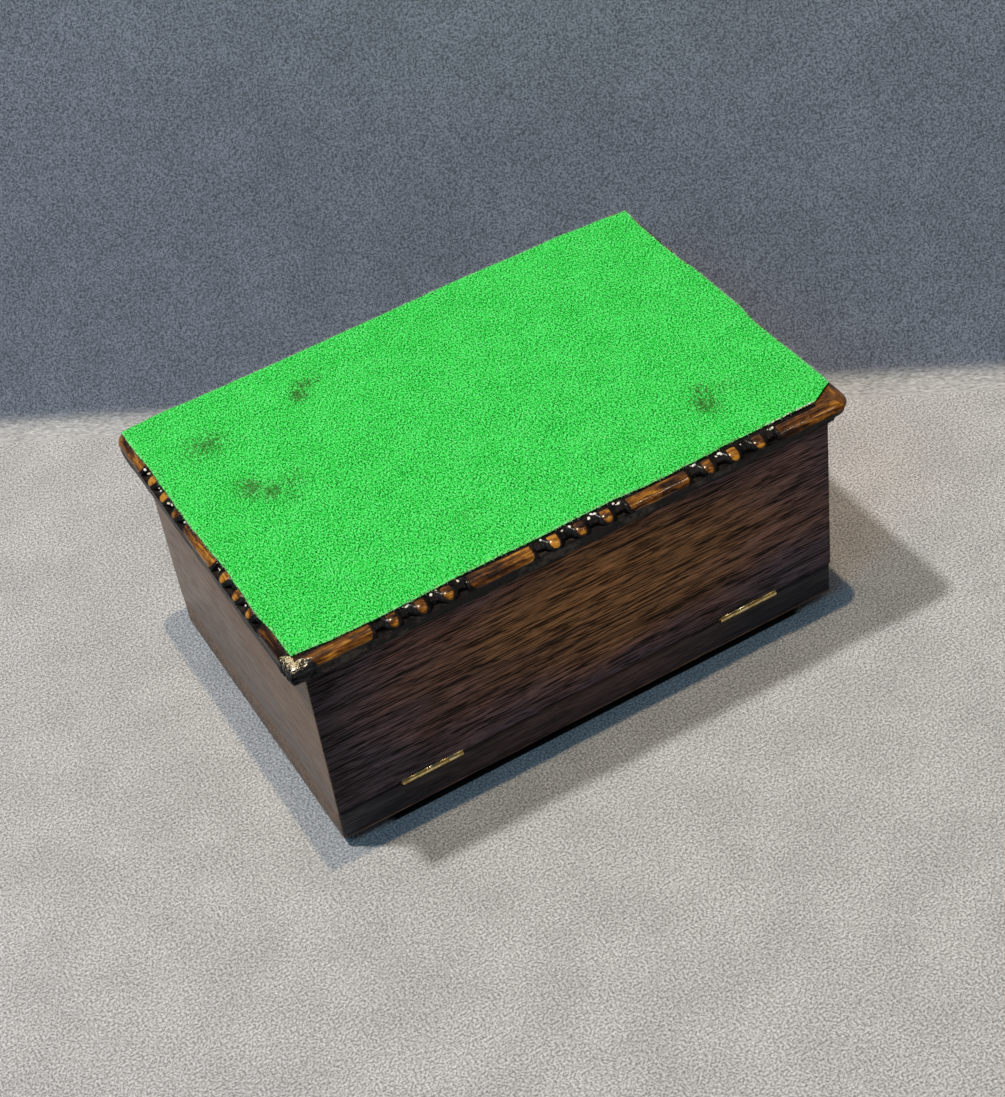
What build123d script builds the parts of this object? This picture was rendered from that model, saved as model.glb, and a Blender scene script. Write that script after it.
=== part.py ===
from build123d import *
import os
from math import radians, sqrt, tan

# A hinged oak cigarette box, in millimetres, upside down on its closed lid.
# The raised field of the lid is on z = 0, and the baize under the base is on top.
# X runs along the length. The hinges are on the -Y side and the front is on +Y.

# Driving dimensions of the oak case.
body_length = 167.5
body_width = 108.0
wall_thickness = 8.5
wall_height = 59.8
wall_arris_radius = 0.5

# Lid board: a square edge, then a thumb moulding that rises to the raised field.
lid_thickness = 14.5
lid_moulding_drop = 3.8
lid_moulding_width = 12.0
lid_field_step = 0.9
lid_corner_radius = 1.5

# Base board: it stands out from the walls, and its carved nosing is rounder above than below.
base_thickness = 6.2
base_overhang = 5.6
base_corner_radius = 6.0
nosing_upper_radius = 3.4
nosing_lower_radius = 1.5

# Bead-and-reel carving of the nosing, in groups of beads with plain reels between them.
long_side_groups = 3
short_side_groups = 2
beads_in_group = 3
long_group_pitch = 49.4
short_group_pitch = 48.4
bead_pitch = 8.3
bead_radius = 3.15
carving_depth = 2.4
reel_end_radius = 1.2
reel_notch_width = 2.4

# Baize under the base, glued a little towards the front, with one clipped corner.
baize_thickness = 1.0
baize_end_margin = 3.1
baize_front_margin = 3.3
baize_back_margin = 0.8
baize_clip_along = 8.0
baize_clip_across = 4.5

# Cedar lining and the divider between the two compartments.
lining_thickness = 2.5
lining_setback = 2.0
floor_lining_thickness = 2.0
lid_lining_thickness = 1.8
lid_lining_gap = 0.6
divider_thickness = 3.2
divider_setback = 3.0
divider_edge_radius = 1.0
divider_housing_depth = 1.0
board_clearance = 0.1

# Brass butt hinges: two leaves with rolled knuckles on one pin.
hinge_centre = 53.7
hinge_length = 19.8
hinge_axis_inset = 0.6
knuckle_count = 4
knuckle_radius = 1.2
knuckle_gap = 0.1
pin_radius = 0.5
pin_clearance = 0.05
pin_end_chamfer = 0.2
leaf_width = 7.0
leaf_thickness = 0.8
leaf_clearance = 0.1
barrel_clearance = 0.2

# Bevels on the back arrises of lid and case, which stop the lid just past 95 degrees.
stop_bevel_angle = 48.5

# Countersunk wood screws.
leaf_screw_spread = 11.2
leaf_screw_offset = 4.3
leaf_screw_head_radius = 1.4
leaf_screw_radius = 0.8
leaf_screw_length = 6.0
base_screw_spread = 100.0
base_screw_head_radius = 2.6
base_screw_radius = 1.4
base_screw_length = 19.0
screw_tip_radius = 0.2
screw_clearance = 0.05
countersink_angle = 90

# Places worked out from the driving dimensions.
joint_z = lid_thickness
base_z = joint_z + wall_height
baize_z = base_z + base_thickness
inner_length = body_length - 2 * wall_thickness
inner_width = body_width - 2 * wall_thickness
floor_z = base_z - floor_lining_thickness
axis_y = -body_width / 2 + hinge_axis_inset
base_length = body_length + 2 * base_overhang
base_width = body_width + 2 * base_overhang
leaf_centre_y = axis_y + leaf_width / 2
leaf_screw_y = axis_y + leaf_screw_offset
compartment_width = inner_width - 2 * lining_thickness
ABOVE = (Align.CENTER, Align.CENTER, Align.MIN)
BELOW = (Align.CENTER, Align.CENTER, Align.MAX)
ALONG_X = (0, 90, 0)
UPSIDE_DOWN = (180, 0, 0)

os.makedirs("parts", exist_ok=True)


def bevel_back_arris(side):
    """Cut the back arris at the joint: side 1 bevels the case above it, side -1 the lid."""
    reach = 2 * hinge_axis_inset
    rise = side * reach * tan(radians(stop_bevel_angle))
    with BuildSketch(Plane.YZ) as bevel:
        with BuildLine():
            Polyline(
                (axis_y, joint_z),
                (axis_y - reach, joint_z),
                (axis_y - reach, joint_z + rise),
                close=True,
            )
        make_face()
    extrude(bevel.sketch, amount=body_length, both=True, mode=Mode.SUBTRACT)


def cut_hinge_seats(side):
    """Let both leaves and barrels into the wood: side 1 is the case, side -1 is the lid."""
    seat_length = hinge_length + 2 * leaf_clearance
    seat_align = ABOVE if side > 0 else BELOW
    for centre in (-hinge_centre, hinge_centre):
        with Locations((centre, leaf_centre_y + leaf_clearance / 2, joint_z)):
            seat_width = leaf_width + leaf_clearance
            Box(seat_length, seat_width, leaf_thickness, align=seat_align, mode=Mode.SUBTRACT)
        with Locations(Location((centre, axis_y, joint_z), ALONG_X)):
            Cylinder(knuckle_radius + barrel_clearance, seat_length, mode=Mode.SUBTRACT)


def leaf_screw_places(turn):
    """The four places of the screws in one pair of leaves, pointing down unless turned over."""
    shifts = (-leaf_screw_spread / 2, leaf_screw_spread / 2)
    centres = (-hinge_centre, hinge_centre)
    return [Location((c + s, leaf_screw_y, joint_z), turn) for c in centres for s in shifts]


def base_screw_places():
    """Two screws into each long wall and one into each end wall, along the walls' middle lines."""
    long_y = body_width / 2 - wall_thickness / 2
    end_x = body_length / 2 - wall_thickness / 2
    long_x = base_screw_spread / 2
    points = [(x, y) for y in (-long_y, long_y) for x in (-long_x, long_x)]
    return [Location((x, y, baize_z)) for x, y in points + [(-end_x, 0), (end_x, 0)]]


def wood_screws(places, head_radius, radius, length):
    """Countersunk screws, with their heads flush with the places and their points below."""
    head_depth = head_radius - radius
    point_length = 2 * radius
    shank_length = length - head_depth - point_length
    with Locations(*places):
        Cone(radius, head_radius, head_depth, align=BELOW)
        with Locations((0, 0, -head_depth)):
            Cylinder(radius, shank_length, align=BELOW)
        with Locations((0, 0, -head_depth - shank_length)):
            Cone(screw_tip_radius, radius, point_length, align=BELOW)


def mitred_wall(corners):
    """One wall between two corners: mitred ends, square arrises barely eased, pilot holes."""
    outer = [(x * body_length / 2, y * body_width / 2) for x, y in corners]
    inner = [(x * inner_length / 2, y * inner_width / 2) for x, y in reversed(corners)]
    with BuildSketch(Plane.XY.offset(joint_z)) as plan:
        RectangleRounded(body_length, body_width, wall_arris_radius)
        with BuildLine():
            Polyline(*outer, *inner, close=True)
        make_face(mode=Mode.INTERSECT)
    extrude(plan.sketch, amount=wall_height)
    bevel_back_arris(1)
    with Locations(*base_screw_places()):
        pilot_depth = base_screw_length + screw_clearance
        Hole(base_screw_radius + screw_clearance, pilot_depth)


# Four oak walls, cut from boards of one thickness and mitred at the corners.
with BuildPart() as front_panel:
    mitred_wall(((-1, 1), (1, 1)))
front_panel.part.label = "front_panel"
export_step(front_panel.part, "parts/front_panel.step")

with BuildPart() as back_panel:
    mitred_wall(((-1, -1), (1, -1)))
    cut_hinge_seats(1)
    with Locations(*leaf_screw_places(UPSIDE_DOWN)):
        Hole(leaf_screw_radius + screw_clearance, leaf_screw_length + screw_clearance)
back_panel.part.label = "back_panel"
export_step(back_panel.part, "parts/back_panel.step")

with BuildPart() as left_end_panel:
    mitred_wall(((-1, -1), (-1, 1)))
left_end_panel.part.label = "left_end_panel"
export_step(left_end_panel.part, "parts/left_end_panel.step")

with BuildPart() as right_end_panel:
    mitred_wall(((1, -1), (1, 1)))
right_end_panel.part.label = "right_end_panel"
export_step(right_end_panel.part, "parts/right_end_panel.step")


def carve_side(groups, group_pitch, edge, turn):
    """Carve one side's nosing: a recess for each group, which leaves round beads standing."""
    first_bead = -(beads_in_group - 1) * bead_pitch / 2
    recess_half = -first_bead + bead_radius + reel_notch_width
    floor = edge - carving_depth
    shoulder = edge - reel_end_radius
    reel_end = recess_half + reel_end_radius
    outside = edge + carving_depth
    centres = [(i - (groups - 1) / 2) * group_pitch for i in range(groups)]
    side_plane = Plane(origin=(0, 0, base_z), x_dir=Vector(1, 0, 0).rotate(Axis.Z, turn))
    with BuildSketch(side_plane) as recesses:
        for centre in centres:
            with BuildLine(Plane(origin=(centre, 0, 0))):
                Polyline(
                    (-recess_half, shoulder),
                    (-recess_half, floor),
                    (recess_half, floor),
                    (recess_half, shoulder),
                )
                RadiusArc((recess_half, shoulder), (reel_end, edge), reel_end_radius)
                Polyline((reel_end, edge), (reel_end, outside), (-reel_end, outside), (-reel_end, edge))
                RadiusArc((-reel_end, edge), (-recess_half, shoulder), reel_end_radius)
            make_face()
        bead_places = [
            (centre + first_bead + i * bead_pitch, edge - bead_radius)
            for centre in centres
            for i in range(beads_in_group)
        ]
        with Locations(*bead_places):
            Circle(bead_radius, mode=Mode.SUBTRACT)
    extrude(recesses.sketch, amount=base_thickness, mode=Mode.SUBTRACT)


# Base board: one oak board with a round nosing, carved with beads and reels on all four sides.
with BuildPart() as base_board:
    with BuildSketch(Plane.XY.offset(base_z)):
        RectangleRounded(base_length, base_width, base_corner_radius)
    extrude(amount=base_thickness)
    fillet(base_board.faces().sort_by(Axis.Z)[-1].edges(), radius=nosing_upper_radius)
    fillet(base_board.faces().sort_by(Axis.Z)[0].edges(), radius=nosing_lower_radius)
    for turn in (0, 180):
        carve_side(long_side_groups, long_group_pitch, base_width / 2, turn)
    for turn in (90, 270):
        carve_side(short_side_groups, short_group_pitch, base_length / 2, turn)
    with Locations(*base_screw_places()):
        CounterSinkHole(
            base_screw_radius + screw_clearance,
            base_screw_head_radius + screw_clearance,
            base_thickness,
            countersink_angle,
        )
base_board.part.label = "base_board"
export_step(base_board.part, "parts/base_board.step")

with BuildPart() as base_screws:
    wood_screws(base_screw_places(), base_screw_head_radius, base_screw_radius, base_screw_length)
base_screws.part.label = "base_screws"
export_step(base_screws.part, "parts/base_screws.step")

# Baize: a thin felt sheet glued under the base, short of the nosing's edge.
with BuildPart() as baize:
    right = body_length / 2 + baize_end_margin
    front = body_width / 2 + baize_front_margin
    back = -body_width / 2 - baize_back_margin
    with BuildSketch(Plane.XY.offset(baize_z)):
        with BuildLine():
            Polyline(
                (-right, back),
                (right - baize_clip_along, back),
                (right, back + baize_clip_across),
                (right, front),
                (-right, front),
                close=True,
            )
        make_face()
    extrude(amount=baize_thickness)
baize.part.label = "baize"
export_step(baize.part, "parts/baize.step")

# Cedar floor lining on the base board, inside the walls.
with BuildPart() as floor_lining:
    floor_length = inner_length - 2 * board_clearance
    floor_width = inner_width - 2 * board_clearance
    with Locations((0, 0, floor_z)):
        Box(floor_length, floor_width, floor_lining_thickness, align=ABOVE)
floor_lining.part.label = "floor_lining"
export_step(floor_lining.part, "parts/floor_lining.step")


def long_lining(side):
    """A lining along a long wall, with an upright housing for the divider in its middle."""
    length = inner_length - 2 * board_clearance
    height = floor_z - joint_z - lining_setback
    centre_y = side * (inner_width - lining_thickness) / 2
    housing_y = side * (compartment_width / 2)
    with Locations((0, centre_y, joint_z + lining_setback)):
        Box(length, lining_thickness, height, align=ABOVE)
    with Locations((0, housing_y, joint_z + lining_setback)):
        housing = divider_thickness + 2 * board_clearance
        Box(housing, 2 * divider_housing_depth, height, align=ABOVE, mode=Mode.SUBTRACT)


def end_lining(side):
    """A lining along an end wall, between the two long linings."""
    width = compartment_width - 2 * board_clearance
    height = floor_z - joint_z - lining_setback
    centre_x = side * (inner_length - lining_thickness) / 2
    with Locations((centre_x, 0, joint_z + lining_setback)):
        Box(lining_thickness, width, height, align=ABOVE)


# Thin cedar linings stand on the floor lining and stop short of the rim.
with BuildPart() as front_lining:
    long_lining(1)
front_lining.part.label = "front_lining"
export_step(front_lining.part, "parts/front_lining.step")

with BuildPart() as back_lining:
    long_lining(-1)
back_lining.part.label = "back_lining"
export_step(back_lining.part, "parts/back_lining.step")

with BuildPart() as left_lining:
    end_lining(-1)
left_lining.part.label = "left_lining"
export_step(left_lining.part, "parts/left_lining.step")

with BuildPart() as right_lining:
    end_lining(1)
right_lining.part.label = "right_lining"
export_step(right_lining.part, "parts/right_lining.step")

# Divider: it slides into the housings of the long linings and has a rounded top edge.
with BuildPart() as divider:
    divider_width = compartment_width + 2 * (divider_housing_depth - board_clearance)
    divider_height = floor_z - joint_z - divider_setback
    with Locations((0, 0, joint_z + divider_setback)):
        Box(divider_thickness, divider_width, divider_height, align=ABOVE)
    rim_edges = divider.edges().group_by(Axis.Z)[0].filter_by(Axis.Y)
    fillet(rim_edges, radius=divider_edge_radius)
divider.part.label = "divider"
export_step(divider.part, "parts/divider.step")


def cut_lid_moulding(plane, half_width, half_length):
    """Shape one side of the lid: a small step down from the field, then a round thumb."""
    inner = half_width - lid_moulding_width
    rise = lid_moulding_drop - lid_field_step
    radius = (lid_moulding_width**2 + rise**2) / (2 * rise)
    reach = lid_moulding_width + lid_corner_radius
    outside = (inner + reach, lid_field_step + radius - sqrt(radius**2 - reach**2))
    with BuildSketch(plane) as moulding:
        with BuildLine():
            RadiusArc((inner, lid_field_step), outside, -radius)
            Polyline(outside, (outside[0], 0), (inner, 0), (inner, lid_field_step))
        make_face()
    extrude(moulding.sketch, amount=half_length, both=True, mode=Mode.SUBTRACT)


# Lid board: thick oak, flush with the walls, with the same moulding worked on all four sides.
with BuildPart() as lid_board:
    with BuildSketch():
        RectangleRounded(body_length, body_width, lid_corner_radius)
    extrude(amount=lid_thickness)
    for outward in (Vector(0, 1, 0), Vector(0, -1, 0)):
        side_plane = Plane(origin=(0, 0, 0), x_dir=outward, z_dir=outward.cross(Vector(0, 0, 1)))
        cut_lid_moulding(side_plane, body_width / 2, body_length)
    for outward in (Vector(1, 0, 0), Vector(-1, 0, 0)):
        side_plane = Plane(origin=(0, 0, 0), x_dir=outward, z_dir=outward.cross(Vector(0, 0, 1)))
        cut_lid_moulding(side_plane, body_length / 2, body_width)
    bevel_back_arris(-1)
    cut_hinge_seats(-1)
    with Locations(*leaf_screw_places((0, 0, 0))):
        Hole(leaf_screw_radius + screw_clearance, leaf_screw_length + screw_clearance)
lid_board.part.label = "lid_board"
export_step(lid_board.part, "parts/lid_board.step")

# Lid lining: a thin cedar panel on the lid, which drops inside the rim of the case.
with BuildPart() as lid_lining:
    panel_length = inner_length - 2 * lid_lining_gap
    panel_width = inner_width - 2 * lid_lining_gap
    with Locations((0, 0, joint_z)):
        Box(panel_length, panel_width, lid_lining_thickness, align=ABOVE)
lid_lining.part.label = "lid_lining"
export_step(lid_lining.part, "parts/lid_lining.step")


def hinge_leaf(centre, side, first_knuckle):
    """One brass leaf: its plate lies in the wood, and every second knuckle of the barrel is its."""
    band = hinge_length / knuckle_count
    start = centre - hinge_length / 2
    own = [start + (i + 0.5) * band for i in range(first_knuckle, knuckle_count, 2)]
    other = [start + (i + 0.5) * band for i in range(1 - first_knuckle, knuckle_count, 2)]
    plate_align = ABOVE if side > 0 else BELOW
    with Locations((centre, leaf_centre_y, joint_z)):
        Box(hinge_length, leaf_width, leaf_thickness, align=plate_align)
    with Locations(*[Location((x, axis_y, joint_z), ALONG_X) for x in other]):
        Cylinder(knuckle_radius + barrel_clearance, band + knuckle_gap, mode=Mode.SUBTRACT)
    with Locations(*[Location((x, axis_y, joint_z), ALONG_X) for x in own]):
        Cylinder(knuckle_radius, band - knuckle_gap)
    with Locations(Location((centre, axis_y, joint_z), ALONG_X)):
        Cylinder(pin_radius + pin_clearance, hinge_length, mode=Mode.SUBTRACT)
    turn = UPSIDE_DOWN if side > 0 else (0, 0, 0)
    shifts = (-leaf_screw_spread / 2, leaf_screw_spread / 2)
    with Locations(*[Location((centre + s, leaf_screw_y, joint_z), turn) for s in shifts]):
        CounterSinkHole(
            leaf_screw_radius + screw_clearance,
            leaf_screw_head_radius + screw_clearance,
            leaf_thickness,
            countersink_angle,
        )


# Two butt hinges: the lid's leaves carry the pins, and the case's leaves turn on them.
for hinge_name, centre in (("left", -hinge_centre), ("right", hinge_centre)):
    with BuildPart() as lid_leaf:
        hinge_leaf(centre, -1, 0)
    lid_leaf.part.label = f"{hinge_name}_lid_leaf"
    export_step(lid_leaf.part, f"parts/{hinge_name}_lid_leaf.step")

    with BuildPart() as case_leaf:
        hinge_leaf(centre, 1, 1)
    case_leaf.part.label = f"{hinge_name}_case_leaf"
    export_step(case_leaf.part, f"parts/{hinge_name}_case_leaf.step")

    with BuildPart() as hinge_pin:
        with Locations(Location((centre, axis_y, joint_z), ALONG_X)):
            Cylinder(pin_radius, hinge_length)
        chamfer(hinge_pin.edges().filter_by(GeomType.CIRCLE), length=pin_end_chamfer)
    hinge_pin.part.label = f"{hinge_name}_hinge_pin"
    export_step(hinge_pin.part, f"parts/{hinge_name}_hinge_pin.step")

# Small brass screws hold the leaves: two through each leaf.
with BuildPart() as lid_leaf_screws:
    places = leaf_screw_places((0, 0, 0))
    wood_screws(places, leaf_screw_head_radius, leaf_screw_radius, leaf_screw_length)
lid_leaf_screws.part.label = "lid_leaf_screws"
export_step(lid_leaf_screws.part, "parts/lid_leaf_screws.step")

with BuildPart() as case_leaf_screws:
    places = leaf_screw_places(UPSIDE_DOWN)
    wood_screws(places, leaf_screw_head_radius, leaf_screw_radius, leaf_screw_length)
case_leaf_screws.part.label = "case_leaf_screws"
export_step(case_leaf_screws.part, "parts/case_leaf_screws.step")
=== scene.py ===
# An old oak cigarette box, standing upside down on its closed lid, with its baize on top.
# Lengths are in metres. X runs along the box, the hinges are on the -Y side, +Z is up.
import math
import random

import bmesh
import bpy
from mathutils import Euler, Matrix, Vector, noise


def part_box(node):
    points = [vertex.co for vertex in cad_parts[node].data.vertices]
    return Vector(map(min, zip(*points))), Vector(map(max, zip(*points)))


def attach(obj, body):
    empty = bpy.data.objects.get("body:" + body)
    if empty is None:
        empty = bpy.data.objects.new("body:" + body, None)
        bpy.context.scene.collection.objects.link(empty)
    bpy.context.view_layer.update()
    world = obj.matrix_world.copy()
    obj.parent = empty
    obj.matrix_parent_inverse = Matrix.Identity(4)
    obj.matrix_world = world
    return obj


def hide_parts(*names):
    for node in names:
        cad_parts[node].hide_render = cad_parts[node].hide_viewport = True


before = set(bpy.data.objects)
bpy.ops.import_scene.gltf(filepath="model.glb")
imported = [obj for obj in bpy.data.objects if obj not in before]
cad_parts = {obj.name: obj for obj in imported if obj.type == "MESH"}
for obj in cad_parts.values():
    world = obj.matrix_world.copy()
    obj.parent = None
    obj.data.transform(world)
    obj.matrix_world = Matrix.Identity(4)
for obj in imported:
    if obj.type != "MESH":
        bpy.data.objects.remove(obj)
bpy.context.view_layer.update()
scene = bpy.context.scene
mm = 0.001

# Camera: it looks down over the corner where the back wall meets the left end.
# Its place comes from the target on the box, the distance and three angles.
view_target = Vector((-1.7, -8.3, 35.0)) * mm
view_distance = 679.4 * mm
view_azimuth = math.radians(24.05)
view_elevation = math.radians(43.45)
view_roll = math.radians(-8.75)

camera = bpy.data.objects.new("camera", bpy.data.cameras.new("camera"))
scene.collection.objects.link(camera)
scene.camera = camera
camera.data.sensor_width = 36
camera.data.lens = 75.32
camera.data.clip_start = 0.01
view_turn = Euler((math.pi / 2 - view_elevation, 0, -view_azimuth)).to_matrix()
view_turn = view_turn @ Matrix.Rotation(view_roll, 3, "Z")
camera.matrix_world = Matrix.LocRotScale(
    view_target + view_turn @ Vector((0, 0, view_distance)), view_turn, None
)


# Lid board: one thick oak board, flush with the walls, stained nearly black and waxed.
# A thumb moulding is run round its field, which faces the table, and wear has eased its edges.
# It hangs on the two brass hinges.
def eased_copy(node_name, radius, segments=2):
    """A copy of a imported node, its corners merged and its sharp edges rounded by wear."""
    shape = bmesh.new()
    shape.from_mesh(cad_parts[node_name].data)
    bmesh.ops.remove_doubles(shape, verts=shape.verts, dist=2e-6)
    flat_angle = math.radians(0.5)
    bmesh.ops.dissolve_limit(
        shape, angle_limit=flat_angle, verts=shape.verts, edges=shape.edges
    )
    sharp_angle = math.radians(30)
    sharp = [
        edge
        for edge in shape.edges
        if len(edge.link_faces) == 2 and edge.calc_face_angle() > sharp_angle
    ]
    bmesh.ops.bevel(
        shape,
        geom=sharp,
        offset=radius,
        segments=segments,
        profile=0.5,
        affect="EDGES",
        clamp_overlap=True,
        material=-1,
    )
    return shape


def make_piece(name, shape, body, finish, stands_for=(), sharp_from=40):
    """Turn a finished shape into a piece that rides on its body, with its finish."""
    mesh = bpy.data.meshes.new(name)
    shape.to_mesh(mesh)
    shape.free()
    mesh.materials.append(finish)
    mesh.shade_smooth()
    mesh.set_sharp_from_angle(angle=math.radians(sharp_from))
    piece = bpy.data.objects.new(name, mesh)
    scene.collection.objects.link(piece)
    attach(piece, body)
    if stands_for:
        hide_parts(*stands_for)
    return piece


def new_finish(name, **plain):
    """A material, its tree and its shader, whose plain values are set on the shader."""
    finish = bpy.data.materials.new(name)
    finish.use_nodes = True
    shader = finish.node_tree.nodes["Principled BSDF"]
    for word, value in plain.items():
        socket = word.replace("_", " ").title().replace("Ior", "IOR")
        shader.inputs[socket].default_value = value
    return finish, finish.node_tree, shader


def step(tree, kind, inputs, output=0, **settings):
    """Add a node, set or link its inputs, and give back one of its outputs."""
    made = tree.nodes.new("ShaderNode" + kind)
    for setting, value in settings.items():
        setattr(made, setting, value)
    for key, value in inputs.items():
        if isinstance(value, bpy.types.NodeSocket):
            tree.links.new(value, made.inputs[key])
        else:
            made.inputs[key].default_value = value
    return made.outputs[output]


def place_of(tree, scale, start=(0, 0, 0)):
    """Object coordinates, shifted by start and then scaled."""
    place = step(tree, "TexCoord", {}, "Object")
    shifted = step(tree, "VectorMath", {0: place, 1: start}, operation="ADD")
    return step(tree, "VectorMath", {0: shifted, 1: scale}, operation="MULTIPLY")


def place_in_mm(tree):
    """Object coordinates in millimetres."""
    return place_of(tree, (1 / mm,) * 3)


def clouds(tree, place, scale, detail=3.0, roughness=0.5, distortion=0.0):
    """Soft noise from about 0.3 to 0.7."""
    inputs = {
        "Vector": place,
        "Scale": scale,
        "Detail": detail,
        "Roughness": roughness,
        "Distortion": distortion,
    }
    return step(tree, "TexNoise", inputs)


def calc(tree, operation, first, second=0.0, third=0.0, clamp=False):
    """One step of arithmetic."""
    inputs = {0: first, 1: second, 2: third}
    return step(tree, "Math", inputs, operation=operation, use_clamp=clamp)


def rise(tree, value, low, high, bottom=0.0, top=1.0):
    """Map low..high smoothly to bottom..top."""
    inputs = {"Value": value, 1: low, 2: high, 3: bottom, 4: top}
    return step(tree, "MapRange", inputs, interpolation_type="SMOOTHSTEP")


def blend(tree, share, first, second, how="MIX"):
    """Mix two colours."""
    inputs = {0: share, 6: first, 7: second}
    return step(tree, "Mix", inputs, 2, data_type="RGBA", blend_type=how)


def tones(tree, value, *stops):
    """A colour ramp, from pairs of a place and a colour."""
    ramp = tree.nodes.new("ShaderNodeValToRGB")
    tree.links.new(value, ramp.inputs[0])
    while len(ramp.color_ramp.elements) < len(stops):
        ramp.color_ramp.elements.new(0.5)
    for element, (spot, colour) in zip(ramp.color_ramp.elements, stops):
        element.position = spot
        element.color = colour
    return ramp.outputs[0]


def shaded(tree, colour, factor):
    """A colour made lighter or darker by a factor."""
    return step(tree, "VectorMath", {0: colour, "Scale": factor}, operation="SCALE")


def relief(tree, shader, height, depth):
    """Bump the surface by height times depth, in metres."""
    bump = step(tree, "Bump", {"Height": height, "Distance": depth, "Strength": 1.0})
    tree.links.new(bump, shader.inputs["Normal"])


def along(axis, lengthwise, across):
    """A scale that is lengthwise on the grain's axis and across on the other two."""
    return tuple(lengthwise if letter == axis else across for letter in "XYZ")


def share_from(tree, axis, centre, half_size):
    """How far the surface is from centre along one axis, as a share of half_size."""
    place = step(tree, "TexCoord", {}, "Object")
    coordinate = step(tree, "SeparateXYZ", {0: place}, "XYZ".index(axis))
    offset = calc(tree, "SUBTRACT", coordinate, centre)
    return calc(tree, "DIVIDE", calc(tree, "ABSOLUTE", offset), half_size)


# Oak colours: rubbed ochre, red-brown stain, the blue-black of old wax whose blue is a painted
# tint of the window light, and bare taupe, also used as painted sheen and highlight.
oak_ochre = (0.270, 0.118, 0.036, 1)
oak_brown = (0.186, 0.086, 0.060, 1)
# The blue in oak_black is a painted tint of the window light.
oak_black = (0.068, 0.051, 0.069, 1)
oak_taupe = (0.228, 0.134, 0.084, 1)
lid_black = (0.024, 0.020, 0.026, 1)


def oak_finish(name, axis, start, ground, wear_and_highlight, gloss, roughness, contrast):
    """Stained oak with its grain on one axis: streaks, hair lines and open black pores."""
    finish, tree, shader = new_finish(name, specular_ior_level=gloss)
    streak_place = place_of(tree, along(axis, 0.045 / mm, 1 / mm), start)
    hair_place = place_of(tree, along(axis, 0.16 / mm, 2.8 / mm), start)
    pore_place = place_of(tree, along(axis, 0.10 / mm, 2.1 / mm), start)
    streaks = clouds(tree, streak_place, 0.45, 4, 0.6, 0.5)
    hairs = clouds(tree, hair_place, 1.0, 3, 0.6)
    pores = clouds(tree, pore_place, 1.0, 2, 0.5)
    pores = calc(tree, "MULTIPLY_ADD", streaks, -0.12, calc(tree, "ADD", pores, 0.06))
    pores = rise(tree, pores, 0.53, 0.60)
    shade = calc(
        tree,
        "MULTIPLY",
        rise(tree, streaks, 0.32, 0.68, 0.72, 1.35),
        rise(tree, hairs, 0.32, 0.68, 0.42, 1.75),
    )
    shade = calc(tree, "MULTIPLY", shade, calc(tree, "MULTIPLY_ADD", pores, -0.85, 1.0))
    shade = calc(tree, "MULTIPLY_ADD", shade, contrast, 1 - contrast)
    wood = ground(tree, clouds(tree, streak_place, 0.09, 3, 0.6))
    # The lid's arris gets a painted highlight here, the walls' corners their rubbed wear.
    wood = blend(tree, wear_and_highlight(tree), wood, oak_taupe)
    tree.links.new(shaded(tree, wood, shade), shader.inputs["Base Color"])
    rough = calc(tree, "MULTIPLY_ADD", pores, 0.3 * contrast, roughness)
    tree.links.new(rough, shader.inputs["Roughness"])
    height = calc(tree, "MULTIPLY_ADD", pores, -1.0, calc(tree, "MULTIPLY", hairs, 0.5))
    relief(tree, shader, height, 0.22 * contrast * mm)
    return finish


lid_easing = 0.35 * mm
lid_low, lid_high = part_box("lid_board")
lid_arris_height = 3.95 * mm
lid_arris_half = 0.75 * mm
lid_brown_centre = -5 * mm
lid_brown_half = 60 * mm


def lid_ground(tree, drift):
    """The lid is nearly black, browner in a few long patches, and taupe on its ends, partly a
    painted sheen.
    """
    middle = rise(tree, share_from(tree, "X", lid_brown_centre, lid_brown_half), 1.1, 0.3, 0, 0.35)
    brown = calc(tree, "ADD", middle, rise(tree, drift, 0.48, 0.75, 0, 0.2))
    wood = blend(tree, brown, lid_black, oak_brown)
    ends = rise(tree, share_from(tree, "X", 0, lid_high.x), 0.9965, 0.9990)
    return blend(tree, ends, wood, oak_taupe)


def lid_arris_highlight(tree):
    """A painted highlight: the lid's lower outer arris is made grey-brown in places."""
    patches = rise(tree, clouds(tree, place_of(tree, (40, 40, 40)), 1.0, 4), 0.35, 0.55)
    arris = share_from(tree, "Z", lid_arris_height, lid_arris_half)
    arris = rise(tree, arris, 1.0, 0.5)
    return calc(tree, "MULTIPLY", patches, arris)


lid_oak = oak_finish(
    "lid_oak", "X", (0.31, 0.12, 0.07), lid_ground, lid_arris_highlight, 0.3, 0.36, 0.7
)
make_piece(
    "oak_lid",
    eased_copy("lid_board", lid_easing),
    "lid",
    lid_oak,
    stands_for=["lid_board"],
)

# Case walls: four oak boards with their grain lengthwise, mitred and glued at the corners.
# They are stained dark; the long ones are worn to ochre in the middle, and black at the ends, the
# left end darkened further by a painted shade.
wall_easing = 0.25 * mm
wall_low, wall_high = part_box("back_panel")
wall_middle = (wall_low.z + wall_high.z) / 2
ochre_centre = (8 * mm, wall_middle + 4 * mm)
ochre_half_sizes = (50 * mm, 24 * mm)
brown_centre = (13 * mm, wall_middle + 3 * mm)
brown_half_sizes = (85 * mm, 30 * mm)
dark_end_width = 15 * mm


def wall_wear(tree):
    """The upright corners are rubbed a little lighter."""
    end = rise(tree, share_from(tree, "X", 0, wall_high.x), 0.994, 1.0)
    side = rise(tree, share_from(tree, "Y", 0, -wall_low.y), 0.991, 1.0)
    patches = rise(tree, clouds(tree, place_of(tree, (120, 120, 120)), 1.0, 4), 0.45, 0.7)
    return calc(tree, "MULTIPLY", calc(tree, "MULTIPLY", end, side), patches)


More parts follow.
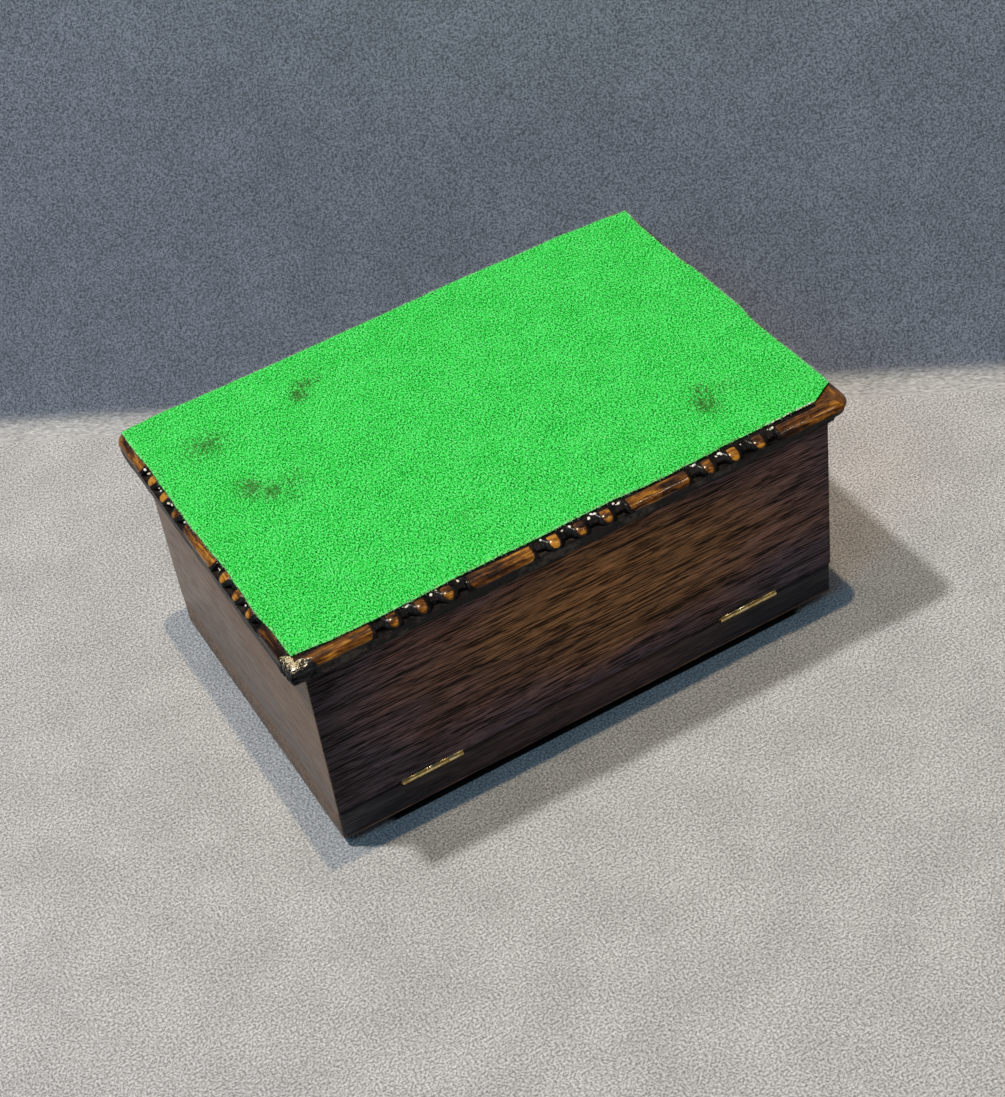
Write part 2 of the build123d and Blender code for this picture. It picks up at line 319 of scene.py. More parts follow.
def worn_patch(tree, centre, half_sizes, drift):
    """A soft oval share, 1 in the middle, with a drifting outline."""
    squares = [
        calc(tree, "POWER", share_from(tree, axis, spot, half), 2.0)
        for axis, spot, half in zip("XZ", centre, half_sizes)
    ]
    away = calc(tree, "ADD", *squares)
    away = calc(tree, "MULTIPLY_ADD", drift, 2.2, calc(tree, "SUBTRACT", away, 1.1))
    return rise(tree, away, 1.4, 0.1)


def long_ground(tree, drift):
    """Ochre in the upper middle, red-brown around it, black at the ends and by the lid; a painted
    shade darkens the left end.
    """
    patches = clouds(tree, place_of(tree, (28, 28, 50), (0.1, 0.2, 0.3)), 1.0, 3, 0.6)
    brown = worn_patch(tree, brown_centre, brown_half_sizes, patches)
    ochre = worn_patch(tree, ochre_centre, ochre_half_sizes, drift)
    # Painted shade: darker towards the left end, down to half.
    by_end = share_from(tree, "X", wall_low.x, dark_end_width)
    by_end = rise(tree, by_end, 1.0, 0.2, 1.0, 0.5)
    wood = blend(tree, calc(tree, "MULTIPLY_ADD", brown, 0.9, 0.1), oak_black, oak_brown)
    wood = blend(tree, calc(tree, "MULTIPLY", ochre, 0.85), wood, oak_ochre)
    return shaded(tree, wood, by_end)


def short_ground(tree, drift):
    """An even taupe with a slow drift, partly a painted sheen."""
    return blend(tree, rise(tree, drift, 0.35, 0.65, 0.6, 1.0), oak_brown, oak_taupe)


long_look = (long_ground, wall_wear, 0.16, 0.50, 1.0)
short_look = (short_ground, wall_wear, 0.5, 0.30, 0.35)
walls = (
    ("back", "back_panel", "X", (0.0, 0.02, 0.013), long_look),
    ("front", "front_panel", "X", (0.2, 0.31, 0.045), long_look),
    ("left_end", "left_end_panel", "Y", (0.11, 0.05, 0.023), short_look),
    ("right_end", "right_end_panel", "Y", (0.27, 0.15, 0.034), short_look),
)
for side, panel, axis, start, look in walls:
    make_piece(
        f"oak_{side}_wall",
        eased_copy(panel, wall_easing),
        "case",
        oak_finish(f"{side}_wall_oak", axis, start, *look),
        stands_for=[panel],
    )

# Base board: one oak board whose nosing is carved by hand with beads and reels all round.
# The crests are varnished amber, the cuts are black with old wax, and the nosing below the crest
# is black, partly wax and partly painted shade; one corner has crumbled.
# It is glued to the walls and held by six screws.
base_low, base_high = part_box("base_board")
corner_radius = 6.0 * mm
crest_round = 3.4 * mm
lower_round = 1.5 * mm
nosing_step = 0.34 * mm
long_side = {"groups": 3, "pitch": 49.4 * mm, "edge": base_high.y, "seed": 0}
short_side = {"groups": 2, "pitch": 48.4 * mm, "edge": base_high.x, "seed": 40}
bead_pitch = 8.3 * mm
bead_radius = 3.1 * mm
beads_in_group = 3
cut_depth = 2.4 * mm
notch_width = 2.4 * mm
reel_round = 1.2 * mm
recess_half = (beads_in_group - 1) / 2 * bead_pitch + bead_radius + notch_width
shoulder_height = base_high.z - 1.2 * mm
nose_height = 2.4 * mm
top_fall = 1.4 * mm
groove_height = 3.8 * mm
groove_size = 0.30 * mm
fillet_setback = 0.35 * mm
setback_growth = 5
setback_start = -20 * mm
hand_error = 0.14 * mm
wax_lump = 0.3 * mm
out_of_square = 1.5 * mm

# Where the carving stops short of the felt: a black strip on the near side, partly glue and dirt,
# partly a painted shadow of the felt's edge.
strip_start = base_low.y + 3.9 * mm
strip_end = base_low.y + 6.0 * mm
strip_last_x = 79.5 * mm

# The crumbled corner: how far it reaches, along both edges together and along one.
crumble_sum = 10.0 * mm
crumble_width = 5.5 * mm
crumble_fade = 2.5 * mm


def hand_drift(*numbers):
    """A repeatable number from -1 to 1, for the small errors of work by hand."""
    return noise.noise(Vector(numbers) * 3.7)


def smooth(low, high, value):
    """0 at low, 1 at high, and a smooth rise between."""
    share = max(0.0, min(1.0, (value - low) / (high - low)))
    return share * share * (3 - 2 * share)


def crest_limit(across, height, reach=1.85 * mm):
    """0 on the varnished crest and 1 in the black, from a place across it and a height. The black
    lower down is partly wax and partly painted shade.
    """
    drop = max(0.0, base_high.z - 0.3 * mm - height) / reach
    return smooth(0.75, 1.3, across * across + drop * drop)


def cut_share(side, seed, run, height):
    """How much of the full depth is cut away at a place, and how black it is.

    A painted highlight on each bead's lower front is below 0, and shows brighter.
    """
    last = (side["groups"] - 1) / 2
    group = max(-last, min(last, round(run / side["pitch"] + last) - last))
    across = run - group * side["pitch"]
    drop = max(0.0, shoulder_height - height) / nose_height
    reel_start = recess_half + reel_round + 0.45 * mm * hand_drift(group, seed, 9.1)
    inside = reel_start + 0.9 * mm * drop - abs(across)
    if inside <= 0:
        return 0.0, crest_limit(max(0.0, 1 + inside / (1.4 * mm)), height)
    if inside < reel_round:
        return (reel_round - math.sqrt(reel_round**2 - inside**2)) / cut_depth, 1.0
    bead = max(-1, min(1, round(across / bead_pitch)))
    size = bead_radius * (1 + 0.08 * hand_drift(group, bead, seed))
    centre = bead * bead_pitch + 0.4 * mm * hand_drift(bead, seed, group)
    aside = (across - centre) / size
    ball = size * (1 - math.sqrt(max(0.0, 1 - aside**2 - drop**2)))
    rough = 1 + 0.16 * hand_drift(run / mm * 0.35, height / mm * 0.3, seed)
    # Painted highlight: a spot on the bead's lower front is made brighter than its varnish.
    painted_glint = math.hypot(aside - 0.12, (base_high.z - 1.3 * mm - height) / (1.7 * mm))
    black = crest_limit(aside / 0.46, height, 1.4 * mm) - 0.3 * smooth(0.6, 0.1, painted_glint)
    return min(ball / cut_depth, rough), black


def set_corner_back(place):
    """Move a corner's fillet in, as far as its two neighbours are; say how black it is."""
    centre = Vector((base_high.x - corner_radius, base_high.y - corner_radius, 0))
    centre = Vector((math.copysign(centre.x, place.x), math.copysign(centre.y, place.y), 0))
    arm = Vector((place.x, place.y, 0)) - centre
    setback = fillet_setback
    if place.x > 0 and place.y < 0:
        setback *= 1 + setback_growth * (arm.y / arm.length) ** 2
    above = place.z - base_low.z
    setback *= smooth(groove_height, groove_height - 0.4 * mm, above)
    place -= arm * min(0.9, setback / arm.length)
    return crest_limit(0, place.z)


def carve(place):
    """Move a point of the plain nosing to the carved surface, and say how black it is."""
    on_long = abs(place.x) < base_high.x - corner_radius
    on_short = abs(place.y) < base_high.y - corner_radius
    if on_long and on_short:
        return 0.0
    if on_long == on_short:
        return set_corner_back(place)
    side = long_side if on_long else short_side
    axis = 1 if on_long else 0
    outward = math.copysign(1, place[axis])
    seed = side["seed"] + 11 * outward
    edge = side["edge"]
    plain = abs(place[axis])
    height = place.z
    # A black strip by the felt's near edge: partly dirt, partly a painted shadow of the felt.
    by_felt = smooth(strip_start, strip_start + 0.5 * mm, place.y)
    by_felt *= smooth(strip_end, strip_end - 1.0 * mm, place.y)
    by_felt *= smooth(strip_last_x, strip_last_x - 1.5 * mm, place.x)
    share, black = cut_share(side, seed, place[1 - axis], height)
    above = height - base_low.z
    share *= smooth(groove_height - 0.1 * mm, groove_height + 0.25 * mm, above)
    lumps = noise.noise(Vector((place.x, place.y, place.z * 1.5)) * 950) * wax_lump
    groove = groove_size * math.exp(-(((above - groove_height) / groove_size) ** 2))
    setback = fillet_setback * smooth(groove_height, groove_height - 0.4 * mm, above)
    if on_long and outward < 0:
        setback *= 1 + setback_growth * smooth(setback_start, base_high.x, place.x)
    hand = hand_error * hand_drift(place[1 - axis] / mm * 0.06, above / mm * 0.2, seed)
    limit = edge - share * cut_depth - (groove + setback) * max(0.0, 1 - share)
    limit += lumps * max(0.0, black) * smooth(0.1, 0.5, share)
    place[axis] = outward * (min(plain, limit) + hand * smooth(edge - 5 * mm, edge, plain))
    slope = smooth(edge - 5.4 * mm, edge - 2.0 * mm, plain)
    upper = smooth(base_low.z + 2.4 * mm, base_high.z, height)
    place.z -= share * top_fall * slope * upper
    return by_felt + black * (1 - by_felt)


def crumble(place):
    """Square off and roughen the broken corner; say how far a point belongs to it."""
    from_left = place.x + base_high.x
    from_back = place.y + base_high.y
    share = smooth(crumble_sum, crumble_sum - crumble_fade, from_left + from_back)
    share *= smooth(crumble_width, crumble_width - 2.0 * mm, min(from_left, from_back))
    if share == 0:
        return 0.0
    inward = Vector((corner_radius - from_left, corner_radius - from_back, 0))
    if inward.x > 0 and inward.y > 0:
        inward *= 1 / inward.length
        squareness = 1 / max(inward.x, inward.y) - 1
        place -= inward * squareness * corner_radius * 0.75
    inward = Vector((1, 1, -0.4)).normalized()
    lump = noise.noise(place * 900) * 0.6 * mm + noise.noise(place * 2300) * 0.5 * mm
    broken = 0.6 * mm * smooth(base_high.z - 2 * mm, base_high.z, place.z)
    fade = smooth(base_low.z, base_low.z + 1 * mm, place.z)
    place += inward * (lump + broken) * share * fade
    return share


def round_off(shape, edges, radius, segments):
    """Bevel edges to a round."""
    bmesh.ops.bevel(
        shape,
        geom=edges,
        offset=radius,
        segments=segments,
        profile=0.5,
        affect="EDGES",
        material=-1,
    )


def rim_edges(shape, height):
    """The edges all round a flat face at one height."""
    return [
        edge
        for edge in shape.edges
        if all(abs(vert.co.z - height) < 1e-6 for vert in edge.verts)
        and edge.calc_face_angle(0) > math.radians(60)
    ]


def uprights(shape, length):
    """The upright edges that are longer than length."""
    return [
        edge
        for edge in shape.edges
        if abs(edge.verts[0].co.z - edge.verts[1].co.z) > length
        and (edge.verts[0].co.xy - edge.verts[1].co.xy).length < 1e-6
    ]


board = bmesh.new()
bmesh.ops.create_cube(
    board,
    size=1,
    matrix=Matrix.LocRotScale((base_high + base_low) / 2, None, base_high - base_low),
)
round_off(board, uprights(board, 1 * mm), corner_radius, 16)
round_off(board, rim_edges(board, base_high.z), crest_round, 12)
round_off(board, rim_edges(board, base_low.z), lower_round, 5)
bmesh.ops.subdivide_edges(board, edges=uprights(board, 1.2 * mm), cuts=3)
top_face = max(board.faces, key=lambda face: face.calc_center_median().z)
for _ in range(5):
    bmesh.ops.inset_region(
        board, faces=[top_face], thickness=0.42 * mm, use_even_offset=True
    )
flats = [f for f in board.faces if abs(f.normal.z) > 0.999 and f.calc_area() > 1e-3]
bmesh.ops.delete(board, geom=flats, context="FACES_ONLY")
for axis in (0, 1):
    lengths = [
        e for e in board.edges if abs(e.verts[0].co[axis] - e.verts[1].co[axis]) > 50 * mm
    ]
    cuts = round(lengths[0].calc_length() / nosing_step)
    bmesh.ops.subdivide_edges(board, edges=lengths, cuts=cuts)
black_layer = board.verts.layers.float.new("black")
crumb_layer = board.verts.layers.float.new("crumbled")
turn_layer = board.verts.layers.float.new("turned")
for vertex in board.verts:
    from_end = base_high.x - abs(vertex.co.x)
    from_side = base_high.y - abs(vertex.co.y)
    vertex[turn_layer] = smooth(2 * mm, -2 * mm, from_end - from_side)
    vertex[black_layer] = carve(vertex.co)
    vertex[crumb_layer] = crumble(vertex.co)
    lean = smooth(base_high.x - 10 * mm, base_high.x, vertex.co.x)
    vertex.co.x -= out_of_square * lean * (vertex.co.y - base_low.y) / (2 * base_high.y)

# Screw holes: six of them are drilled and countersunk through the base board, under the felt.
# They are made before the board's two flat faces close it.
screw_places = [(x, y) for y in (-49.75, 49.75) for x in (-50.0, 50.0)]
screw_places += [(-79.5, 0.0), (79.5, 0.0)]
hole_radius = 1.45 * mm
sink_radius = 2.65 * mm
for x, y in screw_places:
    rings = []
    for radius, height in (
        (sink_radius, base_high.z),
        (hole_radius, base_high.z - (sink_radius - hole_radius)),
        (hole_radius, base_low.z),
    ):
        centre = Matrix.Translation((x * mm, y * mm, height))
        ring = bmesh.ops.create_circle(board, segments=24, radius=radius, matrix=centre)
        edges = dict.fromkeys(edge for vert in ring["verts"] for edge in vert.link_edges)
        rings.append(list(edges))
    for upper, lower in zip(rings, rings[1:]):
        bmesh.ops.bridge_loops(board, edges=upper + lower)
for height in (base_high.z, base_low.z):
    open_edges = [
        e
        for e in board.edges
        if e.is_boundary and all(abs(v.co.z - height) < 0.3 * mm for v in e.verts)
    ]
    bmesh.ops.triangle_fill(board, use_beauty=False, use_dissolve=True, edges=open_edges)
bmesh.ops.recalc_face_normals(board, faces=board.faces)


def painted(tree, layer):
    """A value that was stored at the points of the mesh."""
    return step(tree, "Attribute", {}, "Fac", attribute_name=layer)


def fillet_sheen(tree, slow, patches):
    """A painted sheen: the plain fillet under the beads is made grey, more in some stretches than
    others.
    """
    face = share_from(tree, "Z", base_low.z + 2.2 * mm, 1.5 * mm)
    stretches = calc(tree, "MULTIPLY_ADD", patches, 0.7, slow)
    stretches = rise(tree, stretches, 0.84, 1.02)
    return calc(tree, "MULTIPLY", rise(tree, face, 1.0, 0.75), stretches)


def nosing_finish():
    """Varnished oak on the crests, black in the cuts, from how deep each point was cut, and black
    below the crest as painted shade.
    """
    finish, tree, shader = new_finish(
        "carved_oak", specular_ior_level=0.1, coat_roughness=0.18
    )
    even_place = place_in_mm(tree)
    turned = painted(tree, "turned")
    on_long = place_of(tree, (0.09 / mm, 0.9 / mm, 0.9 / mm), (0.4, 0.21, 0.05))
    on_short = place_of(tree, (0.9 / mm, 0.09 / mm, 0.9 / mm), (0.4, 0.21, 0.05))
    lengthwise = blend(tree, turned, on_long, on_short)
    streaks = clouds(tree, lengthwise, 1.3, 5, 0.65, 0.6)
    patches = clouds(tree, even_place, 0.42, 4, 0.6)
    slow = clouds(tree, even_place, 0.05, 2)
    tone = calc(tree, "MULTIPLY_ADD", patches, 0.25, calc(tree, "MULTIPLY", streaks, 0.75))
    tone = calc(tree, "MULTIPLY_ADD", slow, 0.5, calc(tree, "SUBTRACT", tone, 0.25))
    black = painted(tree, "black")
    # Painted highlight: where black is below 0, on the beads, the amber tone is raised.
    tone = calc(tree, "MULTIPLY_ADD", calc(tree, "MINIMUM", black, 0.0), -0.45, tone)
    amber = tones(
        tree,
        tone,
        (0.39, (0.010, 0.0040, 0.0020, 1)),
        (0.46, (0.060, 0.020, 0.0040, 1)),
        (0.54, (0.185, 0.066, 0.0070, 1)),
        (0.65, (0.520, 0.235, 0.024, 1)),
    )
    # dark: the black wax of the cuts, and a painted shade on the nosing below the crest.
    dark = calc(tree, "MULTIPLY_ADD", patches, 1.0, calc(tree, "SUBTRACT", black, 0.5))
    dark = rise(tree, dark, 0.30, 0.62)
    wax_and_shade = tones(
        tree, patches, (0.42, (0.0020, 0.0020, 0.0025, 1)), (0.62, (0.012, 0.010, 0.010, 1))
    )
    # Painted sheen: the fillet is made grey in stretches.
    wax_and_shade = blend(tree, fillet_sheen(tree, slow, patches), wax_and_shade, (0.075, 0.060, 0.048, 1))
    colour = blend(tree, dark, amber, wax_and_shade)
    crumbled = painted(tree, "crumbled")
    crumbs = clouds(tree, even_place, 2.2, 3, 0.7)
    cream_depth = 1.7 * mm
    cream_run = 6 * mm
    depth = share_from(tree, "Z", base_high.z, cream_depth)
    aside = rise(tree, share_from(tree, "X", base_low.x, cream_run), 0.55, 0.95, 0, 0.7)
    depth = calc(tree, "ADD", depth, aside)
    cream = calc(tree, "SUBTRACT", calc(tree, "MULTIPLY", crumbs, 4.0), depth)
    cream = rise(tree, cream, 1.45, 1.75)
    broken = blend(tree, cream, (0.008, 0.008, 0.010, 1), (0.75, 0.64, 0.42, 1))
    colour = blend(tree, rise(tree, crumbled, 0.25, 0.6), colour, broken)
    tree.links.new(colour, shader.inputs["Base Color"])
    tree.links.new(rise(tree, dark, 0, 1, 0.28, 0.36), shader.inputs["Roughness"])
    tree.links.new(rise(tree, dark, 0, 1, 0.9, 0.10), shader.inputs["Coat Weight"])
    rough = calc(tree, "MULTIPLY_ADD", patches, 1.2, streaks)
    rough = calc(tree, "MULTIPLY_ADD", calc(tree, "MULTIPLY", crumbs, dark), 1.4, rough)
    relief(tree, shader, rough, 0.2 * mm)
    return finish


make_piece(
    "carved_base_board",
    board,
    "case",
    nosing_finish(),
    stands_for=["base_board"],
    sharp_from=50,
)

# Cedar linings and divider: thin planed boards, reddish, bare, with fine straight grain.
# They drop between the walls, and the divider slides into the two long linings.
cedar_easing = 0.3 * mm


def cedar_finish(name, axis, start):
    """Bare cedar: reddish brown, with close darker lines along the grain."""
    finish, tree, shader = new_finish(name, roughness=0.6, specular_ior_level=0.3)
    grain = place_of(tree, along(axis, 0.03 / mm, 1 / mm), start)
    streaks = clouds(tree, grain, 1.4, 6, 0.6, 0.2)
    broad = clouds(tree, grain, 0.15, 2)
    tone = calc(tree, "MULTIPLY_ADD", streaks, 0.6, calc(tree, "MULTIPLY", broad, 0.4))
    wood = tones(
        tree,
        tone,
        (0.36, (0.16, 0.065, 0.030, 1)),
        (0.50, (0.31, 0.140, 0.066, 1)),
        (0.66, (0.42, 0.215, 0.110, 1)),
    )
    tree.links.new(wood, shader.inputs["Base Color"])
    relief(tree, shader, streaks, 0.06 * mm)
    return finish


cedar_boards = (
    ("cedar_front_lining", "front_lining", "case", "X"),
    ("cedar_back_lining", "back_lining", "case", "X"),
    ("cedar_left_lining", "left_lining", "case", "Y"),
    ("cedar_right_lining", "right_lining", "case", "Y"),
    ("cedar_floor", "floor_lining", "case", "X"),
    ("cedar_divider", "divider", "case", "Y"),
    ("cedar_lid_panel", "lid_lining", "lid", "X"),
)
for number, (name, node_name, body, axis) in enumerate(cedar_boards):
    make_piece(
        name,
        eased_copy(node_name, cedar_easing),
        body,
        cedar_finish(name + "_finish", axis, (0.13 * number, 0.07 * number, 0.05 * number)),
        stands_for=[node_name],
    )


# Hinges: two pressed brass butts. Each leaf's knuckles roll round one pin, which rides with the
# lid's leaf. The leaves are screwed into shallow seats, and only the barrels show at the back.
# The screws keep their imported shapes, and only get a finish.
def metal_finish(name, dull, plain, bright):
    """Old metal: bright where it is rubbed, browner and duller in between."""
    finish, tree, shader = new_finish(name, metallic=1.0)
    patches = clouds(tree, place_in_mm(tree), 0.35, 4, 0.6)
    fine = clouds(tree, place_of(tree, (0.4 / mm, 3 / mm, 3 / mm)), 1.0, 3)
    tone = calc(tree, "MULTIPLY_ADD", fine, 0.3, calc(tree, "MULTIPLY", patches, 0.7))
    metal = tones(tree, tone, (0.38, dull), (0.48, plain), (0.60, bright))
    tree.links.new(metal, shader.inputs["Base Color"])
    tree.links.new(rise(tree, tone, 0.38, 0.60, 0.38, 0.24), shader.inputs["Roughness"])
    relief(tree, shader, fine, 0.008 * mm)
    return finish


lid_brass = metal_finish(
    "lid_leaf_brass", (0.42, 0.27, 0.09, 1), (0.80, 0.56, 0.22, 1), (0.98, 0.76, 0.38, 1)
)
case_brass = metal_finish(
    "case_leaf_brass", (0.60, 0.40, 0.13, 1), (1.00, 0.74, 0.30, 1), (1.00, 0.90, 0.55, 1)
)
screw_steel = metal_finish(
    "screw_steel", (0.10, 0.07, 0.05, 1), (0.30, 0.29, 0.28, 1), (0.48, 0.48, 0.49, 1)
)
for side in ("left", "right"):
    for body, brass in (("lid", lid_brass), ("case", case_brass)):
        leaf = f"{side}_{body}_leaf"
        make_piece(
            f"brass_{leaf}",
            eased_copy(leaf, 0.12 * mm),
            body,
            brass,
            stands_for=[leaf],
            sharp_from=30,
        )
    pin = f"{side}_hinge_pin"
    make_piece(
        f"brass_{pin}",
        eased_copy(pin, 0.05 * mm),
        "lid",
        case_brass,
        stands_for=[pin],
    )
for group, metal in (
    ("lid_leaf_screws", lid_brass),
    ("case_leaf_screws", case_brass),
    ("base_screws", screw_steel),
):
    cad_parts[group].data.materials.clear()
    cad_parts[group].data.materials.append(metal)

# Baize: a sheet of green wool felt, cut by hand and glued under the base board.
# Its edges are a little wavy and furry, one corner is snipped, and rubbed spots show brown.
baize_low, baize_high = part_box("baize")
nap_step = 0.55 * mm
baize_size = baize_high - baize_low
baize_centre = (baize_high + baize_low) / 2
clip_along = 8.0 * mm
clip_across = 4.5 * mm
clip_start = Vector((baize_high.x - clip_along, baize_low.y, 0))
clip_end = Vector((baize_high.x, baize_low.y + clip_across, 0))

# How far the scissors strayed outwards from the straight cut, in mm, at even steps.
near_stray = (-0.4, 0.6, 0.8, 0.5, 0.0, -0.1, 0.1, -0.3, -0.4, 0.2, -0.1, -0.6, -0.6, -0.7, -0.7)
far_stray = (-0.9, -0.1, -0.4, -0.4, -0.4, -0.2, 0.1, 0.2, 0.5, 0.8, 0.6, 0.3, 0.5, -0.3, -1.2)
left_stray = (-0.8, -0.7, 0.1, -0.35, -0.6, -0.1, 0.15, 0.15, -0.05, -0.25, 0.25, 0.1)
right_stray = (0.4, 0.4, 0.15, -0.45, -0.55, 0.2, 0.0, -0.2, -1.1, -1.45, -1.4, -0.9)

# The rubbed spots: a place, two half sizes in mm, and how far the nap is gone.
worn_spots = (
    (-37.5, 39.0, 2.8, 3.8, 1.0),
    (-34.0, 42.5, 4.0, 2.9, 0.80),
    (-30.5, 43.0, 4.0, 3.0, 0.50),
    (-69.4, 35.3, 7.0, 6.0, 0.75),
    (-66.5, 11.0, 4.2, 5.4, 0.95),
    (-62.0, 6.0, 4.4, 4.4, 0.85),
    (-55.0, 7.0, 6.0, 5.0, 0.50),
    (-58.0, 0.0, 4.0, 4.0, 0.45),
    (54.4, -36.0, 4.8, 5.6, 0.85),
    (56.5, -31.0, 4.0, 4.4, 0.65),
    (63.0, -33.0, 5.0, 3.6, 0.45),
    (-23.4, -35.6, 6.0, 3.0, 0.35),
)


def stray(table, share):
    """The stray of an edge at a share of its length, from 0 to 1."""
    spot = max(0.0, min(0.9999, share)) * (len(table) - 1)
    first = int(spot)
    turn = smooth(0, 1, spot - first)
    return (table[first] * (1 - turn) + table[first + 1] * turn) * mm


def worn_share(x, y):
    """How far the nap is rubbed away at a place, from 0 to 1."""
    share = 0.0
    for spot_x, spot_y, half_x, half_y, strength in worn_spots:
        away = ((x / mm - spot_x) / half_x) ** 2 + ((y / mm - spot_y) / half_y) ** 2
        share = max(share, strength * math.exp(-away))
    return share


def waver(run, seed):
    """The quick waver of a cut through loose wool."""
    return 0.16 * mm * noise.noise(Vector((run * 220, seed, 4.1)))


def as_cut(place):
    """Move a point of the straight rectangle to the sheet as it was cut."""
    across_x = (place.x - baize_low.x) / baize_size.x
    across_y = (place.y - baize_low.y) / baize_size.y
    left = -stray(left_stray, across_y) + waver(place.y, 1.0)
    right = stray(right_stray, across_y) + waver(place.y, 2.0)
    near = -stray(near_stray, across_x) + waver(place.x, 3.0)
    far = stray(far_stray, across_x) + waver(place.x, 4.0)
    x = place.x + left * (1 - across_x) + right * across_x
    y = place.y + near * (1 - across_y) + far * across_y
    return Vector((x, y, place.z))


felt = bmesh.new()
bmesh.ops.create_grid(
    felt,
    x_segments=round(baize_size.x / nap_step),
    y_segments=round(baize_size.y / nap_step),
    size=0.5,
    matrix=Matrix.LocRotScale(
        Vector((baize_centre.x, baize_centre.y, baize_high.z)),
        None,
        Vector((baize_size.x, baize_size.y, 1)),
    ),
)
clip_run = clip_end - clip_start
bmesh.ops.bisect_plane(
    felt,
    geom=felt.verts[:] + felt.edges[:] + felt.faces[:],
    plane_co=clip_start,
    plane_no=(clip_run.y, -clip_run.x, 0),
    clear_outer=True,
)
worn_layer = felt.verts.layers.float.new("worn")
hem_layer = felt.verts.layers.float.new("hem")
fuzz_and_highlight_layer = felt.verts.layers.float.new("fuzz_and_highlight")


def turn_down(edges, depth):
    """Extrude an edge all round, and lower it."""
    made = bmesh.ops.extrude_edge_only(felt, edges=edges)["geom"]
    points = [v for v in made if isinstance(v, bmesh.types.BMVert)]
    bmesh.ops.translate(felt, verts=points, vec=(0, 0, -depth))
    return [e for e in made if isinstance(e, bmesh.types.BMEdge)]


cut_edges = [e for e in felt.edges if e.is_boundary]
lower_edges = turn_down(turn_down(cut_edges, 0.45 * mm), 0.55 * mm)
bmesh.ops.triangle_fill(felt, use_beauty=False, use_dissolve=True, edges=lower_edges)
for vertex in felt.verts:
    height = vertex.co.z
    rim = min(
        vertex.co.x - baize_low.x,
        baize_high.x - vertex.co.x,
        vertex.co.y - baize_low.y,
        baize_high.y - vertex.co.y,
    )
    place = as_cut(vertex.co)
    worn = worn_share(place.x, place.y)
    flat = Vector((place.x, place.y, 0))
    if height > baize_high.z - 0.1 * mm:
        nap = noise.noise(flat * 1100) * 0.12 + noise.noise(flat * 2300) * 0.06
        lumps = noise.noise(flat * 330) * 0.06
        place.z += (nap + lumps - 0.18 - 0.18 * worn) * mm
        place.z -= 0.30 * mm * max(0.0, 1 - rim / (0.8 * mm)) ** 2
    else:
        vertex[hem_layer] = 1.0
        if height > baize_low.z + 0.1 * mm:
            fur = noise.noise(Vector((place.x, place.y, 1)) * 1900)
            place += 0.2 * mm * fur * flat.normalized()
    vertex[worn_layer] = worn
    # A pale rim: partly fuzz, partly a painted highlight.
    vertex[fuzz_and_highlight_layer] = smooth(1.0 * mm, 0.2 * mm, rim)
    vertex.co = place
bmesh.ops.recalc_face_normals(felt, faces=felt.faces)


def felt_finish():
    """Green wool felt: speckled nap in light and dark clumps, browned where it is rubbed, with a
    painted highlight along its rim and painted shade on its cut sides.
    """
    finish, tree, shader = new_finish(
        "green_felt", roughness=0.9, sheen_weight=0.04, specular_ior_level=0.1
    )
    place = place_in_mm(tree)
    slant = step(
        tree,
        "Mapping",
        {"Vector": place, "Rotation": (0, 0, math.radians(-35)), "Scale": (1.0, 0.62, 1.0)},
    )
    clumps = clouds(tree, slant, 2.3, 2, 0.6)
    drift = clouds(tree, place, 0.12, 3)
    tone = calc(tree, "MULTIPLY_ADD", drift, 0.08, calc(tree, "SUBTRACT", clumps, 0.04))
    green = tones(
        tree,
        tone,
        (0.36, (0.001, 0.150, 0.008, 1)),
        (0.45, (0.010, 0.520, 0.042, 1)),
        (0.53, (0.045, 0.930, 0.120, 1)),
        (0.62, (0.180, 1.000, 0.310, 1)),
    )
    worn = painted(tree, "worn")
    scratches = clouds(tree, slant, 1.9, 4, 0.8)
    scratches = calc(tree, "MULTIPLY_ADD", worn, 0.22, scratches)
    rubbed = calc(tree, "MULTIPLY", rise(tree, scratches, 0.57, 0.70), 0.75)
    rubbed = calc(tree, "MULTIPLY", rubbed, rise(tree, worn, 0.03, 0.3))
    colour = blend(tree, rubbed, green, (0.040, 0.085, 0.020, 1))
    # Painted highlight along the rim, partly pale fuzz.
    fuzz_and_highlight = painted(tree, "fuzz_and_highlight")
    pale = rise(tree, clouds(tree, place, 1.6, 3, 0.7), 0.44, 0.62, 0.0, 0.55)
    colour = blend(tree, calc(tree, "MULTIPLY", fuzz_and_highlight, pale), colour, (0.42, 0.85, 0.42, 1))
    # Painted shade: the felt's cut sides are made near black.
    hem = painted(tree, "hem")
    colour = blend(tree, calc(tree, "MULTIPLY", hem, 0.9), colour, (0.004, 0.03, 0.008, 1))
    tree.links.new(colour, shader.inputs["Base Color"])
    relief(tree, shader, tone, 0.9 * mm)
    return finish


felt_piece = make_piece(
    "felt_sheet", felt, "case", felt_finish(), stands_for=["baize"], sharp_from=70
)

# Felt fuzz: loose pale fibres that stand out of the felt's cut edges, and a few on its face.
# They are wool, drawn out of the sheet by wear.
fuzz = bmesh.new()
chance = random.Random(11)


def add_fibre(root, direction, length, thickness):
    """One fibre: a thin three-sided spike."""
    turn = direction.to_track_quat("Z", "Y")
    middle = root + direction * length / 2
    bmesh.ops.create_cone(
        fuzz,
        cap_ends=True,
        segments=3,
        radius1=thickness,
        radius2=0,
        depth=length,
        matrix=Matrix.LocRotScale(middle, turn, None),
    )


